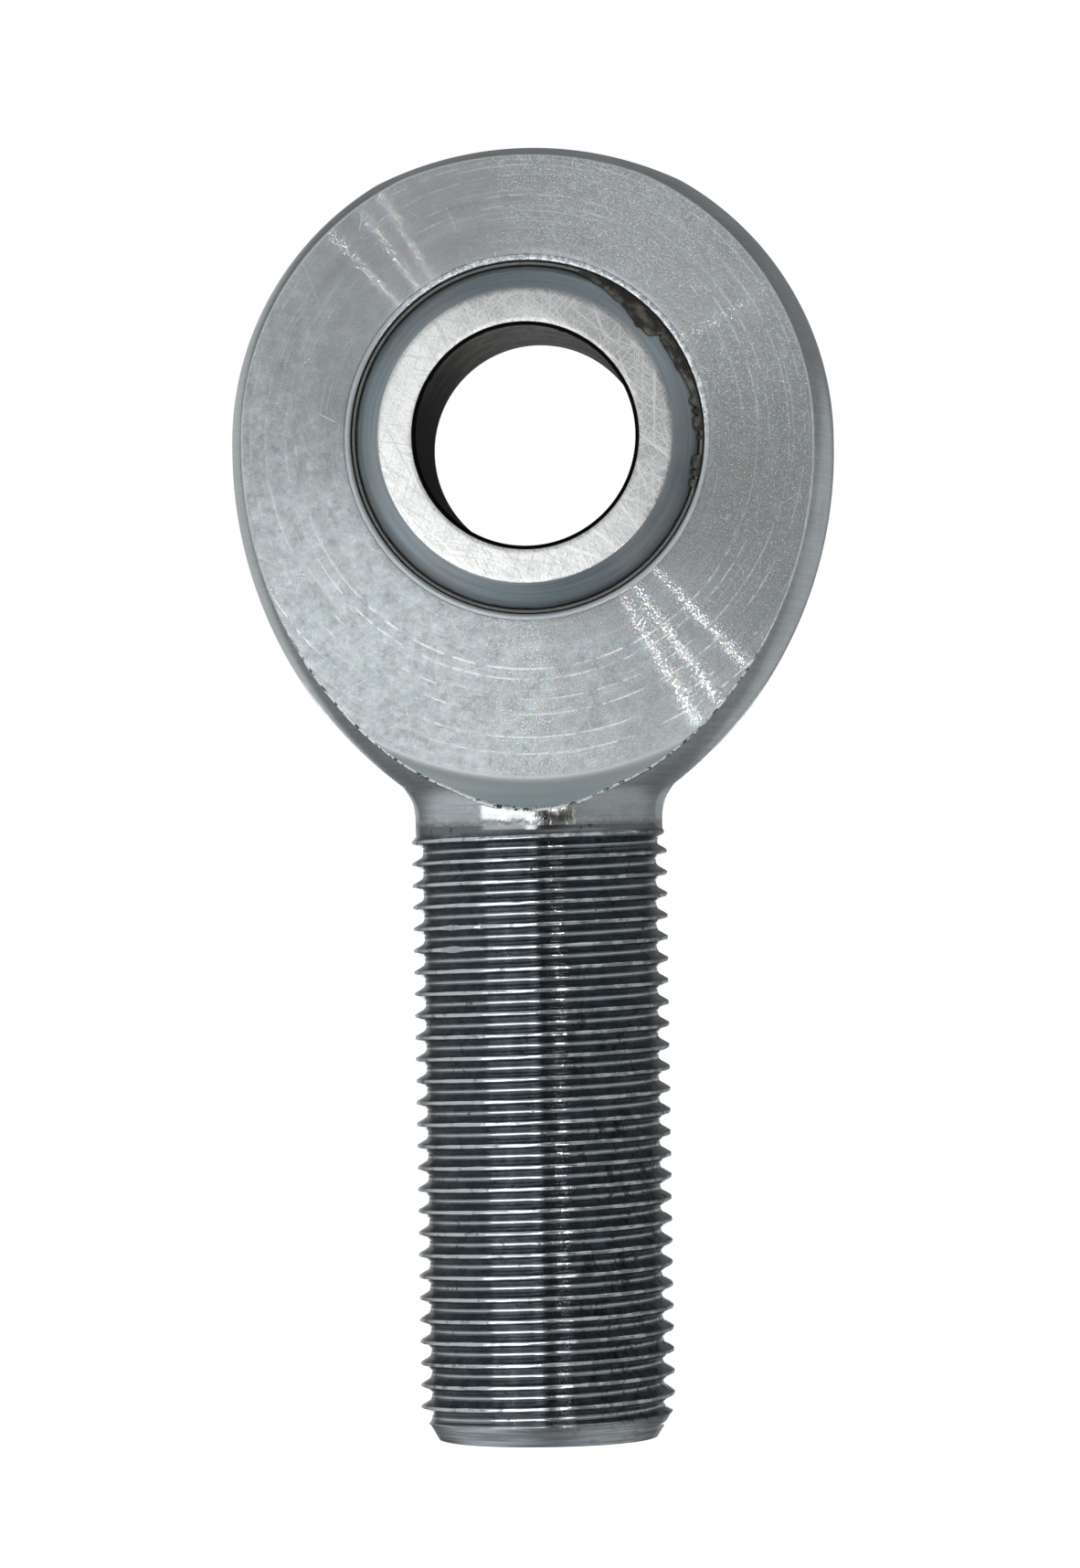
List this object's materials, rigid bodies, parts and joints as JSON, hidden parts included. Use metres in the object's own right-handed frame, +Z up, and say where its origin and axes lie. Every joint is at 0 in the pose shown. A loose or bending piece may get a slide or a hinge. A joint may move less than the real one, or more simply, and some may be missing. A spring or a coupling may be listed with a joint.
{
  "type": "rod end bearing",
  "caption": "Male rod end bearing: a flat-faced eye with a ball swivelling in a lined race, on a straight threaded shank.",
  "frame": {"origin": "centre of the shank's end face", "axes": "+Z up the shank's axis to the eye, Y along the bore's axis, front flat of the eye facing -Y"},
  "size_m": [0.0442, 0.019, 0.0946],
  "materials": {
    "body": "clear zinc plate over turned and faced steel, satin, with concentric tool marks",
    "race": "fine turned steel, thin rim only",
    "liner": "olive brown woven PTFE composite, matt",
    "ball": "hardened steel, ground flats with fine swirl marks and a lapped, polished sphere"
  },
  "bodies": {
    "housing": {"rod_end_body": "body", "outer_race": "race"},
    "liner": {"ptfe_liner": "liner"},
    "ball": {"ball": "ball"}
  },
  "joints": [
    {"name": "ball_spin", "type": "hinge", "parent": "housing", "child": "liner", "pos_m": [0, 0, 0.07303], "axis": [0, 1, 0], "continuous": true},
    {"name": "ball_tilt", "type": "hinge", "parent": "liner", "child": "ball", "pos_m": [0, 0, 0.07303], "axis": [1, 0, 0], "range_deg": [-10, 10]}
  ]
}
